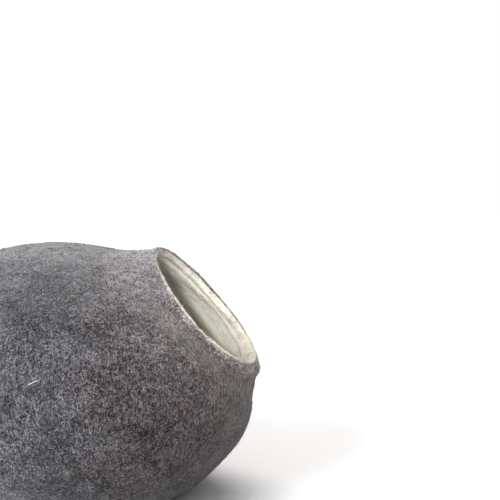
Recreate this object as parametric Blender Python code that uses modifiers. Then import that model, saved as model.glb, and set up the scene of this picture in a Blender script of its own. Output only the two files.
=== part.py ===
"""A wet-felted cat cave: a hollow pebble of thick wool felt with one round mouth, tilted up.

It is felted in one go over a round resist, so it has no seams. It has two layers of wool, felted
to each other: a dark heathered one outside and a natural white one inside, which shows in the
mouth. Metres, +Z up. The mouth faces +X and up, and the cave stands on the plane z = 0, with
the origin under the middle of its length and width.
"""

import math

import bmesh
import bpy
from mathutils import Vector, geometry

# The body, measured from its middle, which lies at its widest level
FRONT_REACH = 0.233
BACK_REACH = 0.206
HALF_WIDTH = 0.221
CROWN_RISE = 0.148
BELLY_DROP = 0.184  # how deep the belly would hang, were it not pressed flat by its weight
FLOOR_DROP = 0.138  # from the widest level down to the floor
MIDDLE_ALONG = -0.0150  # puts the middle of the whole length over the origin
MIDDLE_ACROSS = -0.0010  # and that of the whole width

# How full the outlines are: 2 is an ellipse, and more is squarer
PLAN_FULLNESS = 2.15
CROWN_FULLNESS = 1.9
BELLY_FULLNESS = 2.0
BASE_SOFTNESS = 0.007  # how gently the belly turns into the flat base
BASE_TRUE = 0.0003  # wool that is this near the floor lies on it
CLEAR_OF_FLOOR = 20  # times the softness above the floor, from where its pressure isn't felt

# Swellings and hollows that the maker's hands left in the body, as seen from its middle
SWELLINGS = (
    # side angle, height angle, spread, rise
    (0, -15, 9, 0.0040),
    (0, -1, 9, -0.0045),
    (-2, 62, 16, -0.0015),
    (150, 20, 26, 0.0030),
    (-120, -5, 24, -0.0030),
    (75, 5, 22, 0.0025),
)

# The mouth, measured from the body's middle
MOUTH_TILT = 39.8  # degrees that its axis rises from level
MOUTH_ALONG = 0.1788
MOUTH_RISE = 0.0740
MOUTH_RADIUS = 0.0883

# The low collar round the mouth, at its upper and at its lower side
COLLAR_SPREAD = (14.8, 8.5)  # degrees round the body's middle, from the rim to the collar's foot
COLLAR_FLARE = (11.0, 36.0)  # degrees that the wool leans outwards at the rim
RIM_PULL = (0.05, 0.45)  # how straight the collar runs on from the rim, as a share of its height
FOOT_PULL = (0.10, 0.35)  # how long it hugs the body at its foot

# The wool
OUTER_WOOL = 0.0052
INNER_WOOL = 0.0032
BETWEEN_LAYERS = 0.0003
RIM_PROUD = 0.0016  # how far the inner wool stands out past the outer wool at the rim
OUTER_RIM_ROUND = 0.0022
INNER_RIM_ROUND = 0.0014
RIM_ROUND_STEPS = 2
SHARP_RIM = 60  # degrees, the only edges that get rounded
CHARCOAL = (0.105, 0.100, 0.103)
NATURAL_WHITE = (0.62, 0.59, 0.51)
WOOL_ROUGHNESS = 0.95

# The mesh of one layer: columns round the mouth, rows from the rim to the far end
COLUMNS = 44
CREASE_DEPTH = 0.0098  # the fine crease inside the mouth, under the band
RIM_ROWS = (0.0, 0.0045, 0.0085, CREASE_DEPTH, 0.0113, 0.0165)  # their distances from the rim
CREASE_WOOL = 0.6  # the share of the inner wool that is left there
BODY_ROWS = 18
ROWS_OPEN_OUT = 0.28  # 0 spaces the body's rows evenly, and more opens them to the far end
COLLAR_STEPS = 12  # of the line that the rows are placed on, round the collar
BODY_STEPS = 60  # and over the body

SMALL_TURN = math.radians(0.5)
MOUTH_AXIS = Vector((math.cos(math.radians(MOUTH_TILT)), 0, math.sin(math.radians(MOUTH_TILT))))
MOUTH_UP = Vector((-MOUTH_AXIS.z, 0, MOUTH_AXIS.x))
MOUTH_SIDE = Vector((0, 1, 0))
MOUTH_MIDDLE = Vector((MOUTH_ALONG, 0, MOUTH_RISE))


def swelling(direction):
    """How far the body stands out in this direction, over its plain form."""
    rise = 0.0
    for side, height, spread, most in SWELLINGS:
        side, height = math.radians(side), math.radians(height)
        centre = Vector((
            math.cos(height) * math.cos(side),
            math.cos(height) * math.sin(side),
            math.sin(height),
        ))
        away = math.degrees(direction.angle(centre)) / spread
        rise += most * math.exp(-away * away)
    return rise


def pressed_flat(level):
    """The level of the wool, once the part of the belly below the floor is pressed flat."""
    over = (level + FLOOR_DROP) / BASE_SOFTNESS
    if over > CLEAR_OF_FLOOR:
        return level
    height = BASE_SOFTNESS * math.log1p(math.exp(over))
    return height - FLOOR_DROP if height > BASE_TRUE else -FLOOR_DROP


def body_point(direction):
    """The point of the body's outside in this direction from its middle."""
    reach = FRONT_REACH if direction.x > 0 else BACK_REACH
    rise = CROWN_RISE if direction.z > 0 else BELLY_DROP
    fullness = CROWN_FULLNESS if direction.z > 0 else BELLY_FULLNESS
    along = abs(direction.x / reach) ** PLAN_FULLNESS
    across = abs(direction.y / HALF_WIDTH) ** PLAN_FULLNESS
    plan = (along + across) ** (1 / PLAN_FULLNESS)
    length = (plan**fullness + abs(direction.z / rise) ** fullness) ** (-1 / fullness)
    point = direction * (length + swelling(direction))
    point.z = pressed_flat(point.z)
    return point


def between(ends, lower_share):
    """A collar measure, between its values at the mouth's upper and lower side."""
    upper, lower = ends
    return upper + (lower - upper) * lower_share


def meridian(turn):
    """The line down the outside from the rim to the far end, at this turn round the mouth."""
    outwards = MOUTH_UP * math.cos(turn) + MOUTH_SIDE * math.sin(turn)
    lower_share = (1 - math.cos(turn)) / 2
    rim = MOUTH_MIDDLE + outwards * MOUTH_RADIUS

    pole = MOUTH_MIDDLE.normalized()
    rim_angle = rim.angle(pole)
    away = (rim.normalized() - pole * rim.normalized().dot(pole)).normalized()

    def down_to(angle):
        return body_point(pole * math.cos(angle) + away * math.sin(angle))

    foot_angle = rim_angle + math.radians(between(COLLAR_SPREAD, lower_share))
    foot = down_to(foot_angle)
    up_the_body = (down_to(foot_angle - SMALL_TURN) - foot).normalized()
    flare = math.radians(between(COLLAR_FLARE, lower_share))
    out_of_the_mouth = MOUTH_AXIS * math.cos(flare) + outwards * math.sin(flare)
    height = (rim - foot).length
    collar = geometry.interpolate_bezier(
        rim,
        rim - out_of_the_mouth * height * between(RIM_PULL, lower_share),
        foot + up_the_body * height * between(FOOT_PULL, lower_share),
        foot,
        COLLAR_STEPS + 1,
    )
    step = (math.pi - foot_angle) / BODY_STEPS
    return collar + [down_to(foot_angle + step * (i + 1)) for i in range(BODY_STEPS)]


def point_at(line, distance):
    """The point this far along a line of points. A distance below 0 runs on past its start."""
    if distance < 0:
        return line[0] + (line[0] - line[1]).normalized() * -distance
    for start, end in zip(line, line[1:]):
        length = (end - start).length
        if distance <= length:
            return start.lerp(end, distance / length)
        distance -= length
    return line[-1].copy()


def length_of(line):
    return sum((end - start).length for start, end in zip(line, line[1:]))


def row_distances(whole, proud):
    """Each row's distance from the outer wool's rim, down a line of this whole length."""
    rows = [-proud, *RIM_ROWS] if proud else list(RIM_ROWS)
    last = RIM_ROWS[-1]
    for i in range(1, BODY_ROWS + 1):
        share = i / BODY_ROWS
        share += ROWS_OPEN_OUT * (share * share - share)
        rows.append(last + (whole - last) * share)
    return rows


def felt_skin(proud):
    """The wool's open skin: a UV sphere with its mouth end open, drawn onto the meridians.

    With it come its points along the crease inside the mouth.
    """
    rows = len(row_distances(1.0, proud))
    bm = bmesh.new()
    bmesh.ops.create_uvsphere(bm, u_segments=COLUMNS, v_segments=rows, radius=1)
    mouth_cap = max(bm.verts, key=lambda v: v.co.z)
    bmesh.ops.delete(bm, geom=[mouth_cap], context="VERTS")

    lines = {}
    crease = []
    for vert in bm.verts:
        row = round(vert.co.angle(Vector((0, 0, 1))) / math.pi * rows) - 1
        column = round(math.atan2(vert.co.y, vert.co.x) / math.tau * COLUMNS) % COLUMNS
        if column not in lines:
            line = meridian(column * math.tau / COLUMNS)
            lines[column] = line, row_distances(length_of(line), proud)
        line, distances = lines[column]
        vert.co = point_at(line, distances[row])
        if distances[row] == CREASE_DEPTH:
            crease.append(vert)
    bmesh.ops.recalc_face_normals(bm, faces=bm.faces)
    bmesh.ops.triangulate(bm, faces=bm.faces)
    bm.normal_update()
    return bm, crease


def felt_layer(name, thickness, rim_round, colour, proud=0.0, inset=0.0, creased=False):
    """One seamless layer of wool, thickened inwards from its skin, with a rounded rim."""
    bm, crease = felt_skin(proud)
    inwards = [vert.normal * -inset * vert.calc_shell_factor() for vert in bm.verts]
    for vert, move in zip(bm.verts, inwards):
        vert.co += move + Vector((MIDDLE_ALONG, MIDDLE_ACROSS, FLOOR_DROP))
    bm.verts.index_update()
    crease_indices = [vert.index for vert in crease]
    mesh = bpy.data.meshes.new(name)
    bm.to_mesh(mesh)
    bm.free()
    mesh.shade_smooth()

    layer = bpy.data.objects.new(name, mesh)
    cave.objects.link(layer)
    share_of_wool = layer.vertex_groups.new(name="share_of_wool")
    share_of_wool.add(range(len(mesh.vertices)), 1.0, "REPLACE")
    if creased:
        share_of_wool.add(crease_indices, CREASE_WOOL, "REPLACE")

    wall = layer.modifiers.new("wall", "SOLIDIFY")
    wall.thickness = thickness
    wall.offset = -1
    wall.use_even_offset = True
    wall.vertex_group = share_of_wool.name

    rim = layer.modifiers.new("rim", "BEVEL")
    rim.width = rim_round
    rim.segments = RIM_ROUND_STEPS
    rim.limit_method = "ANGLE"
    rim.angle_limit = math.radians(SHARP_RIM)

    wool = bpy.data.materials.new(name)
    wool.use_nodes = True
    shader = wool.node_tree.nodes["Principled BSDF"]
    shader.inputs["Base Color"].default_value = (*colour, 1)
    shader.inputs["Roughness"].default_value = WOOL_ROUGHNESS
    shader.inputs["Metallic"].default_value = 0
    mesh.materials.append(wool)


for old in list(bpy.data.objects):
    bpy.data.objects.remove(old, do_unlink=True)

cave = bpy.data.collections.new("felt_cat_cave")
bpy.context.scene.collection.children.link(cave)

felt_layer(
    "outer_felt",
    thickness=OUTER_WOOL,
    rim_round=OUTER_RIM_ROUND,
    colour=CHARCOAL,
)
felt_layer(
    "inner_felt",
    thickness=INNER_WOOL,
    rim_round=INNER_RIM_ROUND,
    colour=NATURAL_WHITE,
    proud=RIM_PROUD,
    inset=OUTER_WOOL + BETWEEN_LAYERS,
    creased=True,
)
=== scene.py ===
"""The looks of a wet-felted cat cave: heathered charcoal wool outside, natural white wool inside."""

import math
import random

import bmesh
import bpy
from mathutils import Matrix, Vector, geometry, noise


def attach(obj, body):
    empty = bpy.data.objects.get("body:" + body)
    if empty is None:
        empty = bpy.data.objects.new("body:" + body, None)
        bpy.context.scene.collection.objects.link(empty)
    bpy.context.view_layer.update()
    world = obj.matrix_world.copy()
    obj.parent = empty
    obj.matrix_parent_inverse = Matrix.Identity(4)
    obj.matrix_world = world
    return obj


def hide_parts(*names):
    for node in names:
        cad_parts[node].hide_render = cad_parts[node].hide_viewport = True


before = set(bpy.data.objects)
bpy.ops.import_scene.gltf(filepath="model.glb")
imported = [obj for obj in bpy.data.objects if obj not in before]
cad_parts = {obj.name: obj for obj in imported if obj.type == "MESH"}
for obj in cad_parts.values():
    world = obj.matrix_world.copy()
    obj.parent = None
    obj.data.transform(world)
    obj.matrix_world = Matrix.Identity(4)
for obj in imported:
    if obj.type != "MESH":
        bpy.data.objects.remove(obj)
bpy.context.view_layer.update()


# The outer felt: one seamless shell of charcoal wool, felted in one go over a round resist. Its
# collar was pulled up round the mouth while wet, its base flattens under its own weight, and
# hands left it a little uneven all over.

# The body, measured from its middle, which lies at its widest level, in metres
FRONT_REACH = 0.233
BACK_REACH = 0.206
HALF_WIDTH = 0.221
CROWN_RISE = 0.148
BELLY_DROP = 0.184  # how deep the belly would hang, were it not pressed flat by its weight
FLOOR_DROP = 0.138  # from the widest level down to the floor
BODY_MIDDLE = Vector((-0.0150, -0.0010, FLOOR_DROP))  # puts the whole cave's middle over the origin

# How full the outlines are: 2 is an ellipse, and more is squarer
PLAN_FULLNESS = 2.15
CROWN_FULLNESS = 1.9
BELLY_FULLNESS = 2.0
BASE_SOFTNESS = 0.007  # how gently the belly turns into the flat base
BASE_TRUE = 0.0003  # wool that is this near the floor lies on it
CLEAR_OF_FLOOR = 20  # times the softness above the floor, from where its pressure isn't felt

# Swellings and hollows that the maker's hands left in the body, as seen from its middle
SWELLINGS = (
    # side angle, height angle, spread, rise
    (0, -15, 9, 0.0040),
    (0, -1, 9, -0.0045),
    (-2, 62, 16, -0.0015),
    (150, 20, 26, 0.0030),
    (-120, -5, 24, -0.0030),
    (75, 5, 22, 0.0025),
    (10, -6.5, 4.5, -0.0034),
    (0, 90, 45, -0.0016),
)

# The mouth, measured from the body's middle
MOUTH_TILT = math.radians(39.8)  # that its axis rises from level
MOUTH_RADIUS = 0.0883
MOUTH_AXIS = Vector((math.cos(MOUTH_TILT), 0, math.sin(MOUTH_TILT)))
MOUTH_UP = Vector((-MOUTH_AXIS.z, 0, MOUTH_AXIS.x))
MOUTH_SIDE = Vector((0, 1, 0))
MOUTH_MIDDLE = Vector((0.1788, 0, 0.0740))
MOUTH_PLACE = MOUTH_MIDDLE + BODY_MIDDLE  # the same point, measured from the origin

# The low collar round the mouth, at its upper and at its lower side, and the lip under the mouth
COLLAR_SPREAD = (14.8, 8.5)  # degrees round the body's middle, from the rim to the collar's foot
COLLAR_FLARE = (11.0, 36.0)  # degrees that the wool leans outwards at the rim
RIM_PULL = (0.05, 0.45)  # how straight the collar runs on from the rim, as a share of its height
FOOT_PULL = (0.10, 0.35)  # how long it hugs the body at its foot
SMALL_TURN = math.radians(0.5)
LIP_ROLL = 0.0055  # how much thicker the outer wool is at its lower lip, which rolls outwards
LIP_ROLL_SPREAD = 0.0215  # how far down from the rim the roll runs out
LIP_ROLL_CURL = 0.18  # the share of the roll that is missing right at the rim, where it curls in
LIP_ROLL_CURL_SPREAD = 0.0028
LIP_FULL = 0.0044  # how far the lip's underside is filled out
LIP_FULL_AT = 0.0120  # the distance from the rim where that is most
LIP_FULL_SPREAD = 0.0125
LIP_NARROW = 1.1  # the larger this is, the less of the mouth's round the lip takes up

# The wool
OUTER_WOOL = 0.0052
BETWEEN_LAYERS = 0.0003
OUTER_RIM_THIN = 0.58  # the share of the outer wool that is missing at the rim, where it thins out
OUTER_RIM_THIN_SPREAD = 0.0065
OUTER_RIM_FULL = 2  # the larger this is, the less of the lower lip keeps its whole thickness
LIP_THICK = 0.0040  # how much thicker the lower lip is on its side towards the mouth
LIP_THICK_SPREAD = 0.012
OUTER_RIM_ROUND = 0.0010
RIM_ROUND_STEPS = 3
SHARP_RIM = math.radians(60)  # the only edges that get rounded

# The unevenness of the felt: lumps of two sizes, each with its width and its height
LUMPS = ((0.055, 0.0011), (0.016, 0.00035))
LUMPS_START = 0.012  # the height above the floor from where the base is no longer pressed smooth
RIM_WAVE = 0.0007  # how far the rim's edge waves along the mouth's axis
RIM_WAVE_WIDTH = 0.013
RIM_WAVE_SPREAD = 0.012  # how far down from the rim the waves run out

# The mesh of one layer: columns round the mouth, rows from the rim to the far end
COLUMNS = 240
RIM_REACH = 0.0200  # the rows near the rim go this far down
OUTER_ROWS = (16, 140)  # near the rim, and over the body
ROWS_OPEN_OUT = 0.25  # 0 spaces the body's rows evenly, and more opens them to the far end
COLLAR_STEPS = 30  # of the line that the rows are placed on, round the collar
BODY_STEPS = 180  # and over the body


def seen_from_the_middle(side, height):
    side, height = math.radians(side), math.radians(height)
    return Vector((
        math.cos(height) * math.cos(side),
        math.cos(height) * math.sin(side),
        math.sin(height),
    ))


def swelling(direction):
    """How far the body stands out in this direction, over its plain form."""
    rise = 0.0
    for side, height, spread, most in SWELLINGS:
        away = math.degrees(direction.angle(seen_from_the_middle(side, height))) / spread
        rise += most * math.exp(-away * away)
    return rise


def pressed_flat(level):
    """The level of the wool, once the part of the belly below the floor is pressed flat."""
    over = (level + FLOOR_DROP) / BASE_SOFTNESS
    if over > CLEAR_OF_FLOOR:
        return level
    height = BASE_SOFTNESS * math.log1p(math.exp(over))
    return height - FLOOR_DROP if height > BASE_TRUE else -FLOOR_DROP


def body_point(direction):
    """The point of the body's outside in this direction from its middle."""
    reach = FRONT_REACH if direction.x > 0 else BACK_REACH
    rise = CROWN_RISE if direction.z > 0 else BELLY_DROP
    fullness = CROWN_FULLNESS if direction.z > 0 else BELLY_FULLNESS
    along = abs(direction.x / reach) ** PLAN_FULLNESS
    across = abs(direction.y / HALF_WIDTH) ** PLAN_FULLNESS
    plan = (along + across) ** (1 / PLAN_FULLNESS)
    length = (plan**fullness + abs(direction.z / rise) ** fullness) ** (-1 / fullness)
    point = direction * (length + swelling(direction))
    point.z = pressed_flat(point.z)
    return point


def between(ends, lower_share):
    """A collar measure, between its values at the mouth's upper and lower side."""
    upper, lower = ends
    return upper + (lower - upper) * lower_share


def meridian(turn):
    """The line down the outside from the rim to the far end, at this turn round the mouth."""
    outwards = MOUTH_UP * math.cos(turn) + MOUTH_SIDE * math.sin(turn)
    lower_share = (1 - math.cos(turn)) / 2
    rim = MOUTH_MIDDLE + outwards * MOUTH_RADIUS

    pole = MOUTH_MIDDLE.normalized()
    rim_angle = rim.angle(pole)
    away = (rim.normalized() - pole * rim.normalized().dot(pole)).normalized()

    def down_to(angle):
        return body_point(pole * math.cos(angle) + away * math.sin(angle))

    foot_angle = rim_angle + math.radians(between(COLLAR_SPREAD, lower_share))
    foot = down_to(foot_angle)
    up_the_body = (down_to(foot_angle - SMALL_TURN) - foot).normalized()
    flare = math.radians(between(COLLAR_FLARE, lower_share))
    out_of_the_mouth = MOUTH_AXIS * math.cos(flare) + outwards * math.sin(flare)
    height = (rim - foot).length
    collar = geometry.interpolate_bezier(
        rim,
        rim - out_of_the_mouth * height * between(RIM_PULL, lower_share),
        foot + up_the_body * height * between(FOOT_PULL, lower_share),
        foot,
        COLLAR_STEPS + 1,
    )
    step = (math.pi - foot_angle) / BODY_STEPS
    return collar + [down_to(foot_angle + step * (i + 1)) for i in range(BODY_STEPS)]


def length_of(line):
    return sum((end - start).length for start, end in zip(line, line[1:]))


def row_distances(whole, rows, proud):
    """Each row's distance from the outer wool's rim, down a line of this whole length."""
    near_the_rim, over_the_body = rows
    step = (RIM_REACH + proud) / near_the_rim
    distances = [step * i - proud for i in range(near_the_rim + 1)]
    for i in range(1, over_the_body + 1):
        share = i / over_the_body
        share += ROWS_OPEN_OUT * (share * share - share)
        distances.append(RIM_REACH + (whole - RIM_REACH) * share)
    return distances


def points_along(line, distances):
    """The points at these rising distances down a line. One below 0 runs on past its start."""
    points = []
    passed = 0.0
    step = 0
    for distance in distances:
        length = (line[step + 1] - line[step]).length
        while distance > passed + length and step < len(line) - 2:
            passed += length
            step += 1
            length = (line[step + 1] - line[step]).length
        points.append(line[step].lerp(line[step + 1], min((distance - passed) / length, 1)))
    return points


def lump(point):
    """How far the felt stands out at this point, from its unevenness."""
    rise = sum(height * noise.noise(point / width) for width, height in LUMPS)
    above_the_base = (point.z + FLOOR_DROP) / LUMPS_START
    return rise * min(max(above_the_base, 0), 1)


def rim_wave(point, distance):
    """How far the rim's edge is pulled along the mouth's axis at this point."""
    fading = math.exp(-((distance / RIM_WAVE_SPREAD) ** 2))
    return RIM_WAVE * noise.noise(point / RIM_WAVE_WIDTH) * fading


def lower_side(turn, narrow):
    """How near this turn is to the mouth's lowest point: 1 is there, and 0 is at its sides."""
    return max(-math.cos(turn), 0) ** narrow


def lip_roll(distance, turn):
    """How far the lower lip is rolled outwards, at this distance from the rim."""
    lower = lower_side(turn, LIP_NARROW)
    curl = 1 - LIP_ROLL_CURL * math.exp(-((distance / LIP_ROLL_CURL_SPREAD) ** 2))
    return LIP_ROLL * lower * curl * math.exp(-((max(distance, 0) / LIP_ROLL_SPREAD) ** 3))


def lip_fullness(distance, turn):
    """How far the lower lip's underside is filled out there."""
    lower = lower_side(turn, LIP_NARROW)
    return LIP_FULL * lower * math.exp(-(((distance - LIP_FULL_AT) / LIP_FULL_SPREAD) ** 2))


def outer_wool(distance, turn):
    """How thick the outer wool is there, without the lip's roll and fullness."""
    lower = lower_side(turn, OUTER_RIM_FULL)
    thin = (1 - lower) * math.exp(-((max(distance, 0) / OUTER_RIM_THIN_SPREAD) ** 2))
    thick = lower * math.exp(-((max(distance, 0) / LIP_THICK_SPREAD) ** 2))
    return OUTER_WOOL * (1 - OUTER_RIM_THIN * thin) + LIP_THICK * thick


def outer_wool_and_lip(distance, turn):
    return outer_wool(distance, turn) + lip_roll(distance, turn) + lip_fullness(distance, turn)


def felt_skin(rows, proud=lambda turn: 0.0, inside_the_outer=False):
    """The wool's open skin: a UV sphere with its mouth end open, drawn onto the meridians.

    proud gives how far its edge stands out past the rim, at a turn round the mouth. Each point
    keeps its distance from the rim and its turn as attributes.
    """
    count = sum(rows) + 1
    bm = bmesh.new()
    bmesh.ops.create_uvsphere(bm, u_segments=COLUMNS, v_segments=count, radius=1)
    mouth_cap = max(bm.verts, key=lambda v: v.co.z)
    bmesh.ops.delete(bm, geom=[mouth_cap], context="VERTS")

    from_rim = bm.verts.layers.float.new("from_rim")
    round_mouth = bm.verts.layers.float.new("round_mouth")
    lines = {}
    for vert in bm.verts:
        row = round(vert.co.angle(Vector((0, 0, 1))) / math.pi * count) - 1
        column = round(math.atan2(vert.co.y, vert.co.x) / math.tau * COLUMNS) % COLUMNS
        turn = column * math.tau / COLUMNS
        if column not in lines:
            line = meridian(turn)
            distances = row_distances(length_of(line), rows, proud(turn))
            lines[column] = distances, points_along(line, distances)
        distances, points = lines[column]
        vert.co = points[row]
        vert[from_rim] = distances[row]
        vert[round_mouth] = turn
    bmesh.ops.recalc_face_normals(bm, faces=bm.faces)

    bm.normal_update()
    moves = []
    for vert in bm.verts:
        move = vert.normal * lump(vert.co) + MOUTH_AXIS * rim_wave(vert.co, vert[from_rim])
        if not inside_the_outer:
            move -= MOUTH_UP * lip_roll(vert[from_rim], vert[round_mouth])
            move += vert.normal * lip_fullness(vert[from_rim], vert[round_mouth])
        moves.append(move)
    for vert, move in zip(bm.verts, moves):
        vert.co += move
        vert.co.z = max(vert.co.z, -FLOOR_DROP)

    bm.normal_update()
    moves = [BODY_MIDDLE.copy() for _ in bm.verts]
    if inside_the_outer:
        for vert, move in zip(bm.verts, moves):
            inset = outer_wool(vert[from_rim], vert[round_mouth]) + BETWEEN_LAYERS
            move -= vert.normal * inset * vert.calc_shell_factor()
    for vert, move in zip(bm.verts, moves):
        vert.co += move
    return bm


def felt_layer(name, bm, thickness, most, rim_round):
    """A layer of wool, thickened inwards from its skin, with a rounded rim.

    thickness gives how thick it is at a point, from the point's distance to the rim and its turn
    round the mouth. Its largest value is most.
    """
    mesh = bpy.data.meshes.new(name)
    bm.to_mesh(mesh)
    bm.free()
    mesh.shade_smooth()
    layer = bpy.data.objects.new(name, mesh)
    bpy.context.scene.collection.objects.link(layer)

    share_of_wool = layer.vertex_groups.new(name="share_of_wool")
    from_rim = [mark.value for mark in mesh.attributes["from_rim"].data]
    round_mouth = [mark.value for mark in mesh.attributes["round_mouth"].data]
    for i, (distance, turn) in enumerate(zip(from_rim, round_mouth)):
        share_of_wool.add([i], thickness(distance, turn) / most, "REPLACE")

    wall = layer.modifiers.new("wall", "SOLIDIFY")
    wall.thickness = most
    wall.vertex_group = share_of_wool.name
    wall.offset = -1
    wall.use_even_offset = True

    rim = layer.modifiers.new("rim", "BEVEL")
    rim.width = rim_round
    rim.segments = RIM_ROUND_STEPS
    rim.limit_method = "ANGLE"
    rim.angle_limit = SHARP_RIM
    return layer


def node(tree, kind, **values):
    """A new node of this kind, with these of its settings."""
    made = tree.nodes.new(kind)
    for name, value in values.items():
        setattr(made, name, value)
    return made


def math_node(tree, operation, first, second=None, clamp=False):
    """One step of arithmetic. Each of its values is a number or another node's output."""
    made = node(tree, "ShaderNodeMath", operation=operation, use_clamp=clamp)
    for socket, value in zip(made.inputs, (first, second)):
        if isinstance(value, (int, float)):
            socket.default_value = value
        elif value is not None:
            tree.links.new(value, socket)
    return made.outputs[0]


def noise_node(tree, vector, scale, detail=2.0, roughness=0.5, distortion=0.0):
    made = node(tree, "ShaderNodeTexNoise")
    tree.links.new(vector, made.inputs["Vector"])
    if isinstance(scale, (int, float)):
        made.inputs["Scale"].default_value = scale
    else:
        tree.links.new(scale, made.inputs["Scale"])
    made.inputs["Detail"].default_value = detail
    made.inputs["Roughness"].default_value = roughness
    made.inputs["Distortion"].default_value = distortion
    return made.outputs["Fac"]


def mix_node(tree, factor, first, second, blend="MIX"):
    """A mix of two colours. Inputs 6 and 7 and output 2 are the node's sockets for colours."""
    made = node(tree, "ShaderNodeMix", data_type="RGBA", blend_type=blend)
    for socket, value in ((made.inputs[0], factor), (made.inputs[6], first), (made.inputs[7], second)):
        if isinstance(value, (int, float)):
            socket.default_value = value
        elif isinstance(value, tuple):
            socket.default_value = (*value, 1)
        else:
            tree.links.new(value, socket)
    return made.outputs[2]


def range_node(tree, value, ends, to=(0.0, 1.0)):
    """The value, moved from the range between these ends to another one, and kept within that."""
    made = node(tree, "ShaderNodeMapRange")
    tree.links.new(value, made.inputs["Value"])
    for name, number in zip(("From Min", "From Max", "To Min", "To Max"), (*ends, *to)):
        made.inputs[name].default_value = number
    return made.outputs["Result"]


# Directions in which the fibres of one felting pass lie, as turns about X, Y and Z
FIBRE_PASSES = ((0.3, 0.1, 0.2), (1.1, 0.5, 0.9), (0.2, 1.3, 0.6), (0.8, -0.7, 1.4))
FIBRE_STRETCH = 0.28  # how much less a fibre's tone changes along it than across it
FIBRE_RIDGE = 0.11  # the part of the noise, to each side of its middle, that a fibre takes up
SPECKS_FINER = 1.6  # how much finer the specks are than the fibres
TINTS_APART = (3.1, 1.7, 5.3)  # shifts the tints, so that they don't follow the patches


def tangled_wool():
    """The node group of wool fibres lying across each other, which both felts are made of."""
    tree = bpy.data.node_groups.new("tangled_wool", "ShaderNodeTree")
    tree.interface.new_socket(name="Fibre Density", in_out="INPUT", socket_type="NodeSocketFloat")
    tree.interface.new_socket(name="Patch Density", in_out="INPUT", socket_type="NodeSocketFloat")
    for name in ("Fibres", "Specks", "Patches", "Tints"):
        tree.interface.new_socket(name=name, in_out="OUTPUT", socket_type="NodeSocketFloat")
    given = node(tree, "NodeGroupInput")
    place = node(tree, "ShaderNodeTexCoord").outputs["Object"]

    total = None
    for turns in FIBRE_PASSES:
        mapping = node(tree, "ShaderNodeMapping")
        mapping.inputs["Rotation"].default_value = turns
        mapping.inputs["Scale"].default_value = (1, 1, FIBRE_STRETCH)
        tree.links.new(place, mapping.inputs["Vector"])
        density = given.outputs["Fibre Density"]
        tone = noise_node(tree, mapping.outputs[0], density, detail=2.5, roughness=0.62, distortion=0.9)
        centred = math_node(tree, "ABSOLUTE", math_node(tree, "SUBTRACT", tone, 0.5))
        ridge = range_node(tree, centred, (0.0, FIBRE_RIDGE), to=(1.0, 0.0))
        total = ridge if total is None else math_node(tree, "ADD", total, ridge)
    fibres = math_node(tree, "MULTIPLY", total, 1 / len(FIBRE_PASSES), clamp=True)

    fine = math_node(tree, "MULTIPLY", given.outputs["Fibre Density"], SPECKS_FINER)
    specks = noise_node(tree, place, fine, roughness=0.6, distortion=0.4)
    density = given.outputs["Patch Density"]
    patches = noise_node(tree, place, density, detail=3.0, roughness=0.55, distortion=0.3)
    shifted = node(tree, "ShaderNodeMapping")
    shifted.inputs["Location"].default_value = TINTS_APART
    tree.links.new(place, shifted.inputs["Vector"])
    tints = noise_node(tree, shifted.outputs[0], density)

    put_out = node(tree, "NodeGroupOutput")
    for name, value in (("Fibres", fibres), ("Specks", specks), ("Patches", patches), ("Tints", tints)):
        tree.links.new(value, put_out.inputs[name])
    return tree


WOOL = tangled_wool()


def wool_of(tree, fibre_density, patch_density):
    wool = node(tree, "ShaderNodeGroup", node_tree=WOOL)
    wool.inputs["Fibre Density"].default_value = fibre_density
    wool.inputs["Patch Density"].default_value = patch_density
    return wool.outputs


CHARCOAL_GAP = (0.012, 0.011, 0.012)
CHARCOAL_WARM = (0.090, 0.069, 0.065)
CHARCOAL_COOL = (0.074, 0.075, 0.082)
CHARCOAL_FIBRE = (0.260, 0.250, 0.252)
OUTER_FIBRES = 330.0  # about this many fibre widths to the metre
OUTER_PATCHES = 34.0  # and this many cloudy patches
TINT_RANGE = (0.30, 0.70)  # of the wool's tints, from the warmest to the coolest
LEAN_ALONG = (0.05, 0.20)  # the places on X between which the wool turns from cooler to warmer
LEAN = (0.40, -0.45)  # what that adds to its tint: 0 is warm wool, and 1 is cool
GAP_RANGE = (0.34, 0.56)  # of the specks, from a dark gap to none
FIBRE_RANGE = (0.42, 0.90)  # of the fibres, from none to the lightest
CLOUD_RANGE = (0.32, 0.68)  # of the patches, from the darkest to the lightest
CLOUD_SHADES = (0.60, 1.40)
FLECK_RANGE = (0.36, 0.64)  # of the specks, from the darkest to the lightest
FLECK_SHADES = (0.60, 1.45)
SPECKS_RELIEF = 0.8  # how high the specks stand, as a share of the fibres


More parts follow.
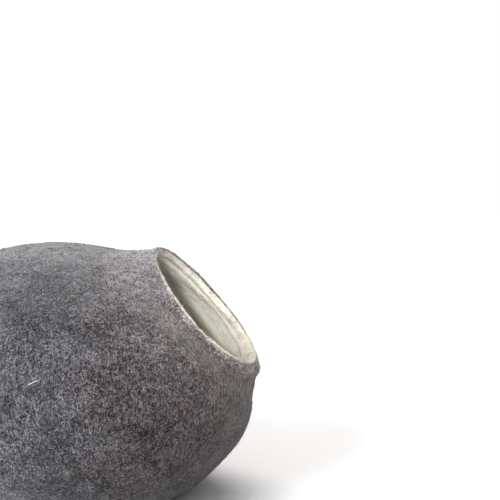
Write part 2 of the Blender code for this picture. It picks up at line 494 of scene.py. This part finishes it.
def heathered_charcoal():
    """Charcoal wool, heathered: light and dark fibres mixed, in cloudy patches."""
    material = bpy.data.materials.new("heathered_charcoal")
    material.use_nodes = True
    tree = material.node_tree
    shader = tree.nodes["Principled BSDF"]
    wool = wool_of(tree, OUTER_FIBRES, OUTER_PATCHES)

    place = node(tree, "ShaderNodeSeparateXYZ")
    tree.links.new(node(tree, "ShaderNodeTexCoord").outputs["Object"], place.inputs[0])
    lean = range_node(tree, place.outputs["X"], LEAN_ALONG, to=LEAN)
    tint = math_node(tree, "ADD", range_node(tree, wool["Tints"], TINT_RANGE), lean, clamp=True)
    body = mix_node(tree, tint, CHARCOAL_WARM, CHARCOAL_COOL)
    gaps = range_node(tree, wool["Specks"], GAP_RANGE)
    body = mix_node(tree, gaps, CHARCOAL_GAP, body)
    fibres = range_node(tree, wool["Fibres"], FIBRE_RANGE)
    colour = mix_node(tree, fibres, body, CHARCOAL_FIBRE)
    clouds = range_node(tree, wool["Patches"], CLOUD_RANGE, to=CLOUD_SHADES)
    flecks = range_node(tree, wool["Specks"], FLECK_RANGE, to=FLECK_SHADES)
    clouds = math_node(tree, "MULTIPLY", clouds, flecks)
    shade = node(tree, "ShaderNodeCombineColor")
    for name in ("Red", "Green", "Blue"):
        tree.links.new(clouds, shade.inputs[name])
    colour = mix_node(tree, 1.0, colour, shade.outputs[0], "MULTIPLY")
    tree.links.new(colour, shader.inputs["Base Color"])

    specks = math_node(tree, "MULTIPLY", wool["Specks"], SPECKS_RELIEF)
    relief = math_node(tree, "ADD", wool["Fibres"], specks)
    bump = node(tree, "ShaderNodeBump")
    bump.inputs["Strength"].default_value = 0.6
    bump.inputs["Distance"].default_value = 0.0012
    tree.links.new(relief, bump.inputs["Height"])
    tree.links.new(bump.outputs["Normal"], shader.inputs["Normal"])

    shader.inputs["Roughness"].default_value = 0.95
    shader.inputs["Specular IOR Level"].default_value = 0.15
    shader.inputs["Sheen Weight"].default_value = 0.7
    shader.inputs["Sheen Roughness"].default_value = 0.34
    shader.inputs["Sheen Tint"].default_value = (0.95, 0.93, 0.92, 1)
    return material


charcoal = heathered_charcoal()
outer_felt = felt_layer(
    "outer_wool",
    felt_skin(OUTER_ROWS),
    thickness=outer_wool_and_lip,
    most=OUTER_WOOL + LIP_THICK + LIP_ROLL + LIP_FULL,
    rim_round=OUTER_RIM_ROUND,
)
outer_felt.data.materials.append(charcoal)
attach(outer_felt, "root")
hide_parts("outer_felt")


# The loose ends of the charcoal wool: single fibres that lie on the felt, tangled, and a few that
# stand off it. Dark, grey and nearly white ones are mixed, which makes the heathered look.

OUTER_FIBRE_PIECES = 3
OUTER_FIBRE_COUNT = 46000  # of each piece
FIBRE_WIDTH = (0.00020, 0.00037)
FIBRE_LENGTH = (0.0032, 0.0085)
FIBRE_BOW = 0.13  # how far a fibre bends sideways at most, as a share of its length
FIBRE_LIFT = (0.00005, 0.00045)  # the height of its middle over the felt
FIBRE_ENDS_SINK = 0.4  # how far its ends lie under the felt, as a share of that height
FIBRE_TWIST = 0.4  # a fibre that lies on the felt is turned about its length by half of this at most
FIBRE_FLOOR = 0.0002  # no fibre goes lower than this
BASE_BARE_TO = 0.002  # and no fibre starts on the base, under this height
LOOSE_SHARE = 0.09  # the share of fibres with a free end
LOOSE_LIFT = (0.0006, 0.0030)  # the height of that end

# The kinds of fibre: dark, grey and light ones
FIBRE_TONES = (
    # share, darkest tone, lightest tone
    (0.44, 0.00, 0.20),
    (0.34, 0.20, 0.55),
    (0.22, 0.60, 1.00),
)
# Fibres of like tones lie together: the width of such patches, and the change of tone
FIBRE_CLOUDS = ((0.0022, 0.40), (0.0045, 0.30), (0.014, 0.30), (0.045, 0.16))
LOCKS_TONE = 0.40  # near the mouth the wool is more mixed: its tones lie further from this one
LOCKS = 1.3
TINT_AWAY = 0.85  # the tint away from the mouth: 0 is the warmest, and 1 the coolest
TINT_LEAN = 5.0  # to the metre, by which the wool turns warmer towards the mouth
TINT_LEANS_FROM = 0.05  # the place on X from where it does
TINT_SPREAD = 0.30
FIBRE_PATCH = 0.012  # how much of the UV map each fibre takes up
SORTING_DIGITS = 6  # of a metre, to which the felt's faces are sorted

CHARCOAL_COLOURS = ((0.008, 0.007, 0.008), (0.068, 0.065, 0.066), (0.430, 0.418, 0.412))
WARM_TINT = (1.16, 0.90, 0.86)
COOL_TINT = (0.93, 0.98, 1.06)


def fibre_shape():
    """One fibre: a flat strip of three stretches, 1 long and 1 wide, pointed at both ends.

    Its own small patch of the UV map lies round the map's corner.
    """
    bm = bmesh.new()
    bmesh.ops.create_grid(bm, x_segments=3, y_segments=1, size=0.5)
    for end in (-0.5, 0.5):
        pair = [v for v in bm.verts if round(v.co.x, 2) == end]
        bmesh.ops.pointmerge(bm, verts=pair, merge_co=(end, 0, 0))
    palette = bm.loops.layers.uv.new("OFBake")
    for face in bm.faces:
        for loop in face.loops:
            loop[palette].uv = loop.vert.co.xy * FIBRE_PATCH
    mesh = bpy.data.meshes.new("fibre")
    bm.to_mesh(mesh)
    bm.free()
    return mesh


def pick(ends):
    """A random number between these two."""
    low, high = ends
    return low + (high - low) * random.random()


def wool_fibres(
    name, places, tones, seed, loose=LOOSE_SHARE, lengths=FIBRE_LENGTH, widths=FIBRE_WIDTH, laid=None
):
    """A piece of loose fibres. places holds the middle and the normal of each.

    tones holds the kinds of fibre. They lie in all directions, or else as laid says. A fibre's
    tone and tint are where its patch lies in the UV map.
    """
    random.seed(seed)
    shape = fibre_shape()
    corners = len(shape.vertices)
    bm = bmesh.new()
    for _ in places:
        bm.from_mesh(shape)
    bpy.data.meshes.remove(shape)
    palette = bm.loops.layers.uv["OFBake"]
    marks = []
    verts = list(bm.verts)
    for i, (middle, normal) in enumerate(places):
        side = normal.orthogonal().normalized()
        turn = random.random() * math.tau
        along = laid or side * math.cos(turn) + normal.cross(side) * math.sin(turn)
        across = normal.cross(along)
        length = pick(lengths)
        width = pick(widths)
        bow = length * FIBRE_BOW * (random.random() * 2 - 1)
        free = pick(LOOSE_LIFT) if random.random() < loose else 0.0
        height = pick(FIBRE_LIFT)
        share, darkest, lightest = random.choices(tones, [t[0] for t in tones])[0]
        tone = pick((darkest, lightest))
        tone += sum(change * noise.noise(middle / size) for size, change in FIBRE_CLOUDS)
        tint = TINT_AWAY - TINT_LEAN * max(middle.x - TINT_LEANS_FROM, 0)
        tone = LOCKS_TONE + (tone - LOCKS_TONE) * (1 + LOCKS * (TINT_AWAY - max(tint, 0)))
        tint += TINT_SPREAD * (random.random() - 0.5)
        marks.append(Vector(min(max(mark, FIBRE_PATCH), 1 - FIBRE_PATCH) for mark in (tone, tint)))
        twist = random.random() * math.pi if free else FIBRE_TWIST * (random.random() - 0.5)
        edge = across * math.cos(twist) + normal * math.sin(twist)
        for vert in verts[i * corners:(i + 1) * corners]:
            x, y, _ = vert.co
            arch = 1 - 4 * x * x
            rise = height * (arch * (1 + FIBRE_ENDS_SINK) - FIBRE_ENDS_SINK) + free * (x + 0.5) ** 2
            vert.co = middle + along * (x * length) + across * (bow * arch)
            vert.co += normal * rise + edge * (y * width)
            vert.co.z = max(vert.co.z, FIBRE_FLOOR)
    bm.verts.index_update()
    for face in bm.faces:
        for loop in face.loops:
            loop[palette].uv += marks[loop.vert.index // corners]
    mesh = bpy.data.meshes.new(name)
    bm.to_mesh(mesh)
    bm.free()
    piece = bpy.data.objects.new(name, mesh)
    bpy.context.scene.collection.objects.link(piece)
    return piece


def places_on(layer, count, seed, wanted):
    """This many places, spread evenly over the wanted faces of the layer, each with its normal."""
    random.seed(seed)
    finished = layer.evaluated_get(bpy.context.evaluated_depsgraph_get()).to_mesh()
    faces = [face for face in finished.polygons if wanted(face)]
    # The modifiers hand them over in another order each run, and the draws go by that order
    faces.sort(key=lambda face: tuple(round(value, SORTING_DIGITS) for value in face.center))
    places = []
    for face in random.choices(faces, [face.area for face in faces], k=count):
        reach = math.sqrt(face.area) / 2
        side = face.normal.orthogonal().normalized()
        offset = side * pick((-reach, reach)) + face.normal.cross(side) * pick((-reach, reach))
        places.append((face.center + offset, face.normal.copy()))
    return places


def shows_outside(face):
    """Whether this face of the outer wool shows: not the side towards the hollow, nor the base."""
    return face.normal.dot(face.center - BODY_MIDDLE) > 0 and face.center.z > BASE_BARE_TO


def fibre_material(name, colours, warm_tint, cool_tint):
    """Single fibres. Their UV map says which of the three colours, and which tint, each has."""
    material = bpy.data.materials.new(name)
    material.use_nodes = True
    tree = material.node_tree
    shader = tree.nodes["Principled BSDF"]
    marks = node(tree, "ShaderNodeSeparateXYZ")
    tree.links.new(node(tree, "ShaderNodeUVMap", uv_map="OFBake").outputs[0], marks.inputs[0])
    ramp = node(tree, "ShaderNodeValToRGB")
    ramp.color_ramp.elements.new(0.5)
    for element, colour in zip(ramp.color_ramp.elements, colours):
        element.color = (*colour, 1)
    tree.links.new(marks.outputs["X"], ramp.inputs[0])
    tint = mix_node(tree, marks.outputs["Y"], warm_tint, cool_tint)
    colour = mix_node(tree, 1.0, ramp.outputs[0], tint, "MULTIPLY")
    tree.links.new(colour, shader.inputs["Base Color"])
    shader.inputs["Roughness"].default_value = 0.8
    shader.inputs["Specular IOR Level"].default_value = 0.2
    shader.inputs["Sheen Weight"].default_value = 0.35
    shader.inputs["Sheen Roughness"].default_value = 0.30
    return material


charcoal_fibres = fibre_material("charcoal_fibres", CHARCOAL_COLOURS, WARM_TINT, COOL_TINT)
for i in range(OUTER_FIBRE_PIECES):
    places = places_on(outer_felt, OUTER_FIBRE_COUNT, seed=10 + i, wanted=shows_outside)
    piece = wool_fibres(f"outer_fibres_{i + 1}", places, FIBRE_TONES, seed=20 + i)
    piece.data.materials.append(charcoal_fibres)
    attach(piece, "root")


# The edge of the charcoal wool, round the mouth: it is felted less there, so it is hairier. Its
# short fibres, from dark to nearly white, stand up on it and cross the white line of the rim.

EDGE_HAIR_COUNT = 7000
EDGE_HAIRS_TO = 0.0018  # how far they go, from the mouth's plane
FACES_OUT = 0.4  # they stand on faces that look out of the mouth by more than this
FACES_UP = 0.8  # or up the mouth's slope by more than this
EDGE_HAIR_LOOSE = 0.60
EDGE_HAIR_LENGTH = (0.0025, 0.0060)
EDGE_HAIR_WIDTH = (0.00016, 0.00030)
EDGE_HAIR_TONES = ((0.22, 0.00, 0.20), (0.38, 0.30, 0.60), (0.40, 0.65, 1.00))
EDGE_HAIR_COLOURS = ((0.030, 0.026, 0.024), (0.210, 0.190, 0.178), (0.680, 0.645, 0.610))
EDGE_HAIR_TINTS = ((1.05, 1.00, 0.97), (1.00, 1.00, 1.00))


def at_the_edge(face):
    near = abs((face.center - MOUTH_PLACE).dot(MOUTH_AXIS)) < EDGE_HAIRS_TO
    return near and (face.normal.dot(MOUTH_AXIS) > FACES_OUT or face.normal.dot(MOUTH_UP) > FACES_UP)


edge_hairs = wool_fibres(
    "edge_hairs",
    places_on(outer_felt, EDGE_HAIR_COUNT, seed=30, wanted=at_the_edge),
    EDGE_HAIR_TONES,
    seed=31,
    loose=EDGE_HAIR_LOOSE,
    lengths=EDGE_HAIR_LENGTH,
    widths=EDGE_HAIR_WIDTH,
)
edge_hairs.data.materials.append(fibre_material("edge_hairs", EDGE_HAIR_COLOURS, *EDGE_HAIR_TINTS))
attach(edge_hairs, "root")


# The stray fibre: one long, thick, light fibre that lies loose on the charcoal wool, at the
# cave's side, just over the shorter ones.

STRAY_FIBRE_NEAR = (0.036, -0.2145, 0.1635)
STRAY_FIBRE_OFF = 0.0007  # its height over the felt
STRAY_FIBRE_LAID = (0.88, 0.12, 0.45)
STRAY_FIBRE_LENGTH = 0.0165
STRAY_FIBRE_WIDTH = 0.0008
STRAY_FIBRE_TONES = ((1.0, 0.97, 1.0),)
STRAY_FIBRE_COLOUR = (0.62, 0.60, 0.50)

finished = outer_felt.evaluated_get(bpy.context.evaluated_depsgraph_get())
_, place, normal, _ = finished.closest_point_on_mesh(STRAY_FIBRE_NEAR)
stray_fibre = wool_fibres(
    "stray_fibre",
    [(place + normal * STRAY_FIBRE_OFF, normal)],
    STRAY_FIBRE_TONES,
    seed=60,
    loose=0.0,
    lengths=(STRAY_FIBRE_LENGTH, STRAY_FIBRE_LENGTH),
    widths=(STRAY_FIBRE_WIDTH, STRAY_FIBRE_WIDTH),
    laid=Vector(STRAY_FIBRE_LAID).normalized(),
)
stray_wool = fibre_material("stray_fibre", (STRAY_FIBRE_COLOUR,) * 3, *EDGE_HAIR_TINTS)
stray_fibre.data.materials.append(stray_wool)
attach(stray_fibre, "root")


# The inner felt: natural white wool, felted to the inside of the charcoal. Its edge shows as a
# light line round the mouth: just past the rim on the -Y side, and a little under it on the +Y
# side. Inside the rim it forms a soft band, and a fine crease under that, which is darkened by
# painted shade as well as by its real groove.

INNER_WOOL = 0.0032
RIM_PROUD = 0.0004  # how far its edge stands out past the rim, on the -Y side
FAR_RIM_LOW = 0.0016  # and how far it lies under the rim, on the +Y side
INNER_RIM_ROUND = 0.0005
INNER_ROWS = (26, 84)
CREASE_DEPTH = (0.0070, 0.0030)  # its distance from the rim, at the mouth's upper and lower side
CREASE_RISES = 0.6  # how far down round the mouth it has come up all the way: 1 is the lowest point
CREASE_WANDER = 0.0007  # by which it wanders up and down
CREASE_WANDERS = 2.5  # the larger this is, the more often it does
CREASE_WIDTH = 0.0012
CREASE_EASE = 3.0  # how much wider its inner side is than its steep outer side
CREASE_WOOL = 0.42  # the share of the inner wool that is missing in it
CREASE_ENDS = (0.60, 0.85)  # and between which of such places it runs out
BAND_RISE = 0.0030  # the distance of the band's middle from the crease
BAND_WIDTH = 0.0019
BAND_WOOL = 0.25  # the share of the inner wool that is added in the band
EDGE_WIDTH = 0.0016
EDGE_WOOL = 0.55  # the share of it that is missing at its thin edge
# painted shade: the colour of the crease's shadow, mixed into the cream there
CREASE_PAINTED_SHADE = (0.13, 0.115, 0.09)
CREAM_DULL = (0.58, 0.565, 0.49)
CREAM_BRIGHT = (0.95, 0.94, 0.87)
CREAM_AT_THE_RIM = (0.58, 0.54, 0.48)  # where charcoal fibres have worked into it
RIM_TONE_ENDS = (0.0012, 0.0085)  # the distances from the rim between which that runs out
INNER_FIBRES = 240.0
INNER_PATCHES = 26.0
STREAKS = 55.0  # about this many to the metre
STREAK_TURN = (0, 0.876, 0)  # they run round the hollow, in the mouth's own slope
STREAK_STRETCH = (0.20, 0.6, 1.0)
STREAK_RANGE = (0.36, 0.62)
MOTTLE_OF_FIBRES = 0.35  # the shares of the fibres, patches and streaks in the cream's mottle
MOTTLE_OF_PATCHES = 0.35
MOTTLE_OF_STREAKS = 0.55
MOTTLE_RANGE = (0.22, 0.95)  # from the dullest to the brightest cream
CREASE_RANGE = (0.50, 1.0)  # of the crease's depth, from no painted shade to the most
MOST_PAINTED_SHADE = 0.75


def crease_depth(turn):
    """The crease's distance from the rim, at this turn round the mouth."""
    wander = noise.noise(Vector((math.cos(turn), math.sin(turn), 0)) * CREASE_WANDERS)
    lower_share = min(max(-math.cos(turn) / CREASE_RISES, 0), 1)
    return between(CREASE_DEPTH, lower_share) + CREASE_WANDER * wander


def crease_at(distance, turn):
    """How deep the crease is at this place: 0 is out of it, and 1 is its deepest."""
    from_crease = distance - crease_depth(turn)
    width = CREASE_WIDTH if from_crease < 0 else CREASE_WIDTH * CREASE_EASE
    starts, ends = CREASE_ENDS
    left = min(max((ends + math.cos(turn)) / (ends - starts), 0), 1)
    return left * math.exp(-((from_crease / width) ** 2))


def rim_proud(turn):
    """How far the edge stands out past the rim, at this turn. Below 0 it lies under the rim."""
    return RIM_PROUD - (RIM_PROUD + FAR_RIM_LOW) * max(math.sin(turn), 0)


def inner_wool(distance, turn):
    """How thick the inner wool is, at this distance from the rim and this turn round the mouth."""
    crease = crease_at(distance, turn)
    band = math.exp(-(((distance - crease_depth(turn) + BAND_RISE) / BAND_WIDTH) ** 2))
    edge = math.exp(-((max(distance + rim_proud(turn), 0) / EDGE_WIDTH) ** 2))
    return INNER_WOOL * (1 + BAND_WOOL * band - CREASE_WOOL * crease - EDGE_WOOL * edge)


def natural_white():
    """Natural white wool: cream, with duller streaks, and painted shade in the crease."""
    material = bpy.data.materials.new("natural_white")
    material.use_nodes = True
    tree = material.node_tree
    shader = tree.nodes["Principled BSDF"]
    wool = wool_of(tree, INNER_FIBRES, INNER_PATCHES)

    slope = node(tree, "ShaderNodeMapping", vector_type="TEXTURE")
    slope.inputs["Rotation"].default_value = STREAK_TURN
    slope.inputs["Scale"].default_value = [1 / share for share in STREAK_STRETCH]
    tree.links.new(node(tree, "ShaderNodeTexCoord").outputs["Object"], slope.inputs["Vector"])
    streaks = noise_node(tree, slope.outputs[0], STREAKS, detail=4.0, roughness=0.6, distortion=0.8)
    streaks = range_node(tree, streaks, STREAK_RANGE)
    mottle = math_node(tree, "MULTIPLY", wool["Fibres"], MOTTLE_OF_FIBRES)
    for part, share in ((wool["Patches"], MOTTLE_OF_PATCHES), (streaks, MOTTLE_OF_STREAKS)):
        mottle = math_node(tree, "ADD", mottle, math_node(tree, "MULTIPLY", part, share))
    colour = mix_node(tree, range_node(tree, mottle, MOTTLE_RANGE), CREAM_DULL, CREAM_BRIGHT)
    from_rim = node(tree, "ShaderNodeAttribute", attribute_name="from_rim").outputs["Fac"]
    at_the_rim = range_node(tree, from_rim, RIM_TONE_ENDS, to=(1.0, 0.0))
    colour = mix_node(tree, at_the_rim, colour, CREAM_AT_THE_RIM)
    # Painted shade: the cream darkens towards a shadow colour in the crease, on top of the real shading
    # of its groove.
    crease = node(tree, "ShaderNodeAttribute", attribute_name="crease").outputs["Fac"]
    painted_crease_shade = range_node(tree, crease, CREASE_RANGE, to=(0.0, MOST_PAINTED_SHADE))
    colour = mix_node(tree, painted_crease_shade, colour, CREASE_PAINTED_SHADE)
    tree.links.new(colour, shader.inputs["Base Color"])

    bump = node(tree, "ShaderNodeBump")
    bump.inputs["Strength"].default_value = 0.5
    bump.inputs["Distance"].default_value = 0.0012
    tree.links.new(wool["Fibres"], bump.inputs["Height"])
    tree.links.new(bump.outputs["Normal"], shader.inputs["Normal"])

    shader.inputs["Roughness"].default_value = 0.95
    shader.inputs["Specular IOR Level"].default_value = 0.15
    shader.inputs["Sheen Weight"].default_value = 0.3
    shader.inputs["Sheen Roughness"].default_value = 0.5
    return material


inner_felt = felt_layer(
    "inner_wool",
    felt_skin(INNER_ROWS, proud=rim_proud, inside_the_outer=True),
    thickness=inner_wool,
    most=INNER_WOOL * (1 + BAND_WOOL),
    rim_round=INNER_RIM_ROUND,
)
inner_mesh = inner_felt.data
crease = inner_mesh.attributes.new("crease", "FLOAT", "POINT").data
from_rim = inner_mesh.attributes["from_rim"].data
round_mouth = inner_mesh.attributes["round_mouth"].data
for i in range(len(inner_mesh.vertices)):
    crease[i].value = crease_at(from_rim[i].value, round_mouth[i].value)
inner_mesh.materials.append(natural_white())
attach(inner_felt, "root")
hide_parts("inner_felt")


# The loose ends of the white wool: single fibres that lie on it, tangled, and a few that stand
# off it. Those at the rim are mixed with dark ones, and the others line the hollow behind it.

RIM_FIBRE_COUNT = 6500
RIM_FIBRES_TO = 0.0060  # how far the rim's fibres go, from the mouth's plane
RIM_COLOURS = ((0.16, 0.14, 0.12), (0.52, 0.485, 0.43), (0.78, 0.75, 0.69))
MOUTH_FIBRE_COUNT = 20000
MOUTH_FIBRES_TO = 0.150  # how far the others go, from the mouth's middle
CREAM_COLOURS = ((0.34, 0.32, 0.27), (0.74, 0.72, 0.64), (0.94, 0.93, 0.87))
CREAM_TINTS = ((1.03, 1.00, 0.95), (0.99, 1.00, 1.00))
WHITE_FIBRE_TONES = ((0.25, 0.10, 0.45), (0.50, 0.45, 0.80), (0.25, 0.80, 1.00))


def at_the_rim(face):
    return abs((face.center - MOUTH_PLACE).dot(MOUTH_AXIS)) < RIM_FIBRES_TO


def in_the_mouth(face):
    near = (face.center - MOUTH_PLACE).length < MOUTH_FIBRES_TO
    return near and face.normal.dot(face.center - BODY_MIDDLE) < 0 and not at_the_rim(face)


for name, count, wanted, colours, seed in (
    ("rim_fibres", RIM_FIBRE_COUNT, at_the_rim, RIM_COLOURS, 40),
    ("mouth_fibres", MOUTH_FIBRE_COUNT, in_the_mouth, CREAM_COLOURS, 50),
):
    places = places_on(inner_felt, count, seed, wanted)
    piece = wool_fibres(name, places, WHITE_FIBRE_TONES, seed + 1)
    piece.data.materials.append(fibre_material(name, colours, *CREAM_TINTS))
    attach(piece, "root")


# The studio: a pale floor, an even white surround and soft lights. The floor and the surround
# throw less light on the cave than they show, so that its underside stays dark. Three narrow
# spots reach into the mouth.

FLOOR_SIZE = 12.0
FLOOR_SEEN = (0.95, 0.95, 0.95)
FLOOR_THROWS_BACK = (0.62, 0.62, 0.62)
SURROUND = 0.42  # how brightly it lights the cave
SURROUND_SEEN = 1.0
SUN_SPREAD = math.radians(40)
SPOT_DISTANCE = 1.6
SPOT_RADIUS = 0.06
SPOT_BLEND = 0.9  # the share of its beam in which a spot fades out
SPOT_TINT = (1.02, 1.00, 0.97)
FROM_THE_SIDE = (0.10, -0.97, 0.22)
FROM_THE_SIDE_SPREAD = math.radians(5.6)
FROM_THE_FRONT = (0.76, -0.20, 0.62)
FROM_THE_FRONT_SPREAD = math.radians(5.0)


def studio_floor():
    bm = bmesh.new()
    bmesh.ops.create_grid(bm, x_segments=1, y_segments=1, size=FLOOR_SIZE / 2)
    mesh = bpy.data.meshes.new("floor")
    bm.to_mesh(mesh)
    bm.free()
    floor = bpy.data.objects.new("floor", mesh)
    bpy.context.scene.collection.objects.link(floor)
    material = bpy.data.materials.new("pale_floor")
    material.use_nodes = True
    tree = material.node_tree
    shader = tree.nodes["Principled BSDF"]
    seen = node(tree, "ShaderNodeLightPath").outputs["Is Camera Ray"]
    tone = mix_node(tree, seen, FLOOR_THROWS_BACK, FLOOR_SEEN)
    tree.links.new(tone, shader.inputs["Base Color"])
    shader.inputs["Roughness"].default_value = 0.9
    shader.inputs["Specular IOR Level"].default_value = 0.0
    mesh.materials.append(material)
    return floor


def soft_sun(name, direction, strength, colour):
    data = bpy.data.lights.new(name, "SUN")
    data.angle = SUN_SPREAD
    data.energy = strength
    data.color = colour
    light = bpy.data.objects.new(name, data)
    light.rotation_euler = Vector(direction).to_track_quat("Z", "Y").to_euler()
    bpy.context.scene.collection.objects.link(light)


def soft_spot(name, direction, spread, power, up=0.0):
    """A spot that shines into the mouth from this direction, at a point so far up its slope."""
    direction = Vector(direction).normalized()
    data = bpy.data.lights.new(name, "SPOT")
    data.spot_size = spread
    data.spot_blend = SPOT_BLEND
    data.shadow_soft_size = SPOT_RADIUS
    data.energy = power
    data.color = SPOT_TINT
    light = bpy.data.objects.new(name, data)
    light.location = MOUTH_PLACE + MOUTH_UP * up + direction * SPOT_DISTANCE
    light.rotation_euler = direction.to_track_quat("Z", "Y").to_euler()
    bpy.context.scene.collection.objects.link(light)


def surround():
    """An even surround that lights the cave softly and looks white."""
    world = bpy.data.worlds.new("surround")
    world.use_nodes = True
    tree = world.node_tree
    lit = tree.nodes["Background"]
    lit.inputs["Color"].default_value = (1, 1, 1, 1)
    lit.inputs["Strength"].default_value = SURROUND
    seen = node(tree, "ShaderNodeBackground")
    seen.inputs["Color"].default_value = (1, 1, 1, 1)
    seen.inputs["Strength"].default_value = SURROUND_SEEN
    mix = node(tree, "ShaderNodeMixShader")
    tree.links.new(node(tree, "ShaderNodeLightPath").outputs["Is Camera Ray"], mix.inputs[0])
    tree.links.new(lit.outputs[0], mix.inputs[1])
    tree.links.new(seen.outputs[0], mix.inputs[2])
    tree.links.new(mix.outputs[0], tree.nodes["World Output"].inputs["Surface"])
    return world


studio_floor()
soft_sun("front_left", direction=(-0.60, -0.76, 0.36), strength=4.90, colour=(0.97, 0.98, 1.04))
soft_sun("front_right", direction=(0.25, -0.93, 0.25), strength=0.10, colour=(1.06, 1.00, 0.94))
soft_sun("behind", direction=(-0.35, 0.75, 0.56), strength=3.30, colour=(1.02, 1.00, 0.98))
soft_spot("mouth_above", FROM_THE_SIDE, FROM_THE_SIDE_SPREAD, power=150, up=0.036)
soft_spot("mouth_below", FROM_THE_SIDE, FROM_THE_SIDE_SPREAD, power=116, up=-0.040)
soft_spot("down_the_hollow", FROM_THE_FRONT, FROM_THE_FRONT_SPREAD, power=190)
bpy.context.scene.world = surround()
bpy.context.scene.view_settings.view_transform = "Standard"


# The camera: low, with a long lens. It looks at the cave's side from a little in front of the
# mouth, as in the photograph.

CAMERA_PLACE = (0.4387, -1.2760, 0.3858)
CAMERA_DOWN = math.radians(4.681)  # from level
CAMERA_TURN = math.radians(10.011)  # about Z, from looking along +Y
CAMERA_LENS = 83.52

camera_data = bpy.data.cameras.new("camera")
camera_data.lens = CAMERA_LENS
camera = bpy.data.objects.new("camera", camera_data)
camera.location = CAMERA_PLACE
camera.rotation_euler = (math.pi / 2 - CAMERA_DOWN, 0, CAMERA_TURN)
bpy.context.scene.collection.objects.link(camera)
bpy.context.scene.camera = camera
